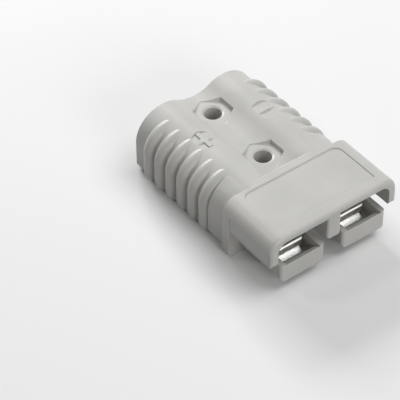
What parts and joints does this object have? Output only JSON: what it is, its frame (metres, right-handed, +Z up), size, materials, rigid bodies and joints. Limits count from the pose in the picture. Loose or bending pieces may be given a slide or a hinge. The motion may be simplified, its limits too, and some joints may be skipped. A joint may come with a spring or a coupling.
{
  "type": "genderless power connector",
  "caption": "Genderless battery power connector: a moulded grey housing with a hood, trays and ribbed barrels, holding silvered crimp contacts on leaf springs.",
  "frame": {"origin": "on the bottom face, midway between the two mounting holes", "axes": "+X across the two poles towards the negative pole, +Y from the mating face to the cable end, +Z up out of the bottom face"},
  "size_m": [0.055, 0.0785, 0.0243],
  "materials": {
    "housing": "satin",
    "contact": "satin",
    "spring": "satin"
  },
  "bodies": {
    "root": {"housing": "housing", "contact_positive": "contact", "contact_negative": "contact", "spring_positive": "spring", "spring_negative": "spring"}
  },
  "joints": []
}
